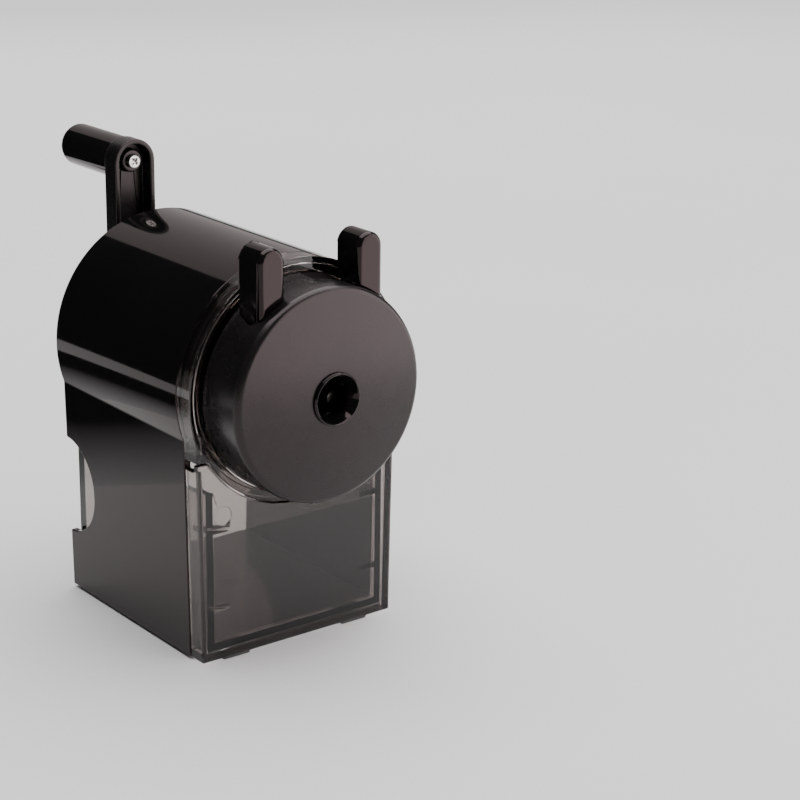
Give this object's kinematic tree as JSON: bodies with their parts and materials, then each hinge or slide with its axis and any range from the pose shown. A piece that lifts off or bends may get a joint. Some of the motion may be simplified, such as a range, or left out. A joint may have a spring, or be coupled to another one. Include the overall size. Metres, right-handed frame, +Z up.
{
  "type": "pencil sharpener",
  "caption": "Black desktop pencil sharpener with a drum body, rear hand crank, sprung round front carriage with pinch ears, and a smoky clear shavings tray.",
  "frame": {"origin": "on the table, under the middle of the whole object", "axes": "+Y from the pencil entry to the crank, +Z up, +X to the right seen from the pencil entry"},
  "size_m": [0.065, 0.125, 0.1199],
  "materials": {
    "gloss_black": "piano gloss",
    "matte_black": "fine matte",
    "satin_black": "satin",
    "smoky_clear": "smoky transparent plastic",
    "steel": "bright",
    "cutter_steel": "ground",
    "cast_metal": "die cast",
    "brass": "turned",
    "rubber": "soft"
  },
  "bodies": {
    "housing": {"casing": "gloss_black", "base_plate": "satin_black", "foot_front_left": "rubber", "foot_front_right": "rubber", "foot_rear_left": "rubber", "foot_rear_right": "rubber", "bezel": "smoky_clear", "guide_plate": "satin_black", "plate_screws": "steel", "rod_bush_left": "brass", "rod_bush_right": "brass", "rear_cap": "matte_black", "ring_gear": "cast_metal", "shaft_bush": "brass", "rod_spring_left": "steel", "rod_spring_right": "steel"},
    "tray": {"tray": "smoky_clear"},
    "carriage": {"cup": "matte_black", "entry_bush": "gloss_black", "fixed_ear": "gloss_black", "jaw_plate": "satin_black", "jaw_pivots": "steel", "carriage_screws": "steel", "jaw_spring": "steel", "rod_left": "steel", "rod_right": "steel", "rod_stop_left": "cast_metal", "rod_stop_right": "cast_metal"},
    "cam": {"cam_ring": "gloss_black"},
    "jaw_top": {"jaw_a": "cast_metal"},
    "jaw_left": {"jaw_b": "cast_metal"},
    "jaw_right": {"jaw_c": "cast_metal"},
    "rotor": {"carrier": "cast_metal", "cutter_axle": "steel", "crank_shaft": "steel", "crank_arm": "matte_black", "crank_screw": "steel", "knob_spindle": "steel", "spindle_nut": "cast_metal"},
    "cutter_head": {"cutter": "cutter_steel", "pinion": "cast_metal"},
    "knob": {"knob": "gloss_black", "knob_cap": "gloss_black"}
  },
  "joints": [
    {"name": "tray_slide", "type": "slide", "parent": "housing", "child": "tray", "axis": [0, -1, 0], "range_m": [0, 0.045]},
    {"name": "carriage_slide", "type": "slide", "parent": "housing", "child": "carriage", "axis": [0, -1, 0], "range_m": [0, 0.022], "stiffness_N_per_m": 120, "springref_m": -0.012, "deforming": ["rod_spring_left", "rod_spring_right"]},
    {"name": "ear_hinge", "type": "hinge", "parent": "carriage", "child": "cam", "pos_m": [0, -0.0495, 0.0705], "axis": [0, -1, 0], "range_deg": [0, 16], "stiffness_Nm_per_rad": 0.08, "springref_deg": -17.19},
    {"name": "jaw_top_hinge", "type": "hinge", "parent": "carriage", "child": "jaw_top", "pos_m": [0, -0.0535, 0.0815], "axis": [0, -1, 0], "range_deg": [0, 35.54]},
    {"name": "jaw_left_hinge", "type": "hinge", "parent": "carriage", "child": "jaw_left", "pos_m": [-0.00953, -0.0535, 0.065], "axis": [0, -1, 0], "range_deg": [0, 35.54]},
    {"name": "jaw_right_hinge", "type": "hinge", "parent": "carriage", "child": "jaw_right", "pos_m": [0.00953, -0.0535, 0.065], "axis": [0, -1, 0], "range_deg": [0, 35.54]},
    {"name": "crank_spin", "type": "hinge", "parent": "housing", "child": "rotor", "pos_m": [0, 0.0313, 0.0705], "axis": [0, 1, 0], "continuous": true},
    {"name": "cutter_spin", "type": "hinge", "parent": "rotor", "child": "cutter_head", "pos_m": [0, 0.0058, 0.0646], "axis": [0, 0.9877, 0.1564], "continuous": true},
    {"name": "knob_spin", "type": "hinge", "parent": "rotor", "child": "knob", "pos_m": [0, 0.0376, 0.1137], "axis": [0, 1, 0], "continuous": true}
  ],
  "couplings": [
    {"joint": "jaw_top_hinge", "follows": "ear_hinge", "ratio": 2.19},
    {"joint": "jaw_left_hinge", "follows": "ear_hinge", "ratio": 2.19},
    {"joint": "jaw_right_hinge", "follows": "ear_hinge", "ratio": 2.19},
    {"joint": "cutter_spin", "follows": "crank_spin", "ratio": -1.9333}
  ]
}
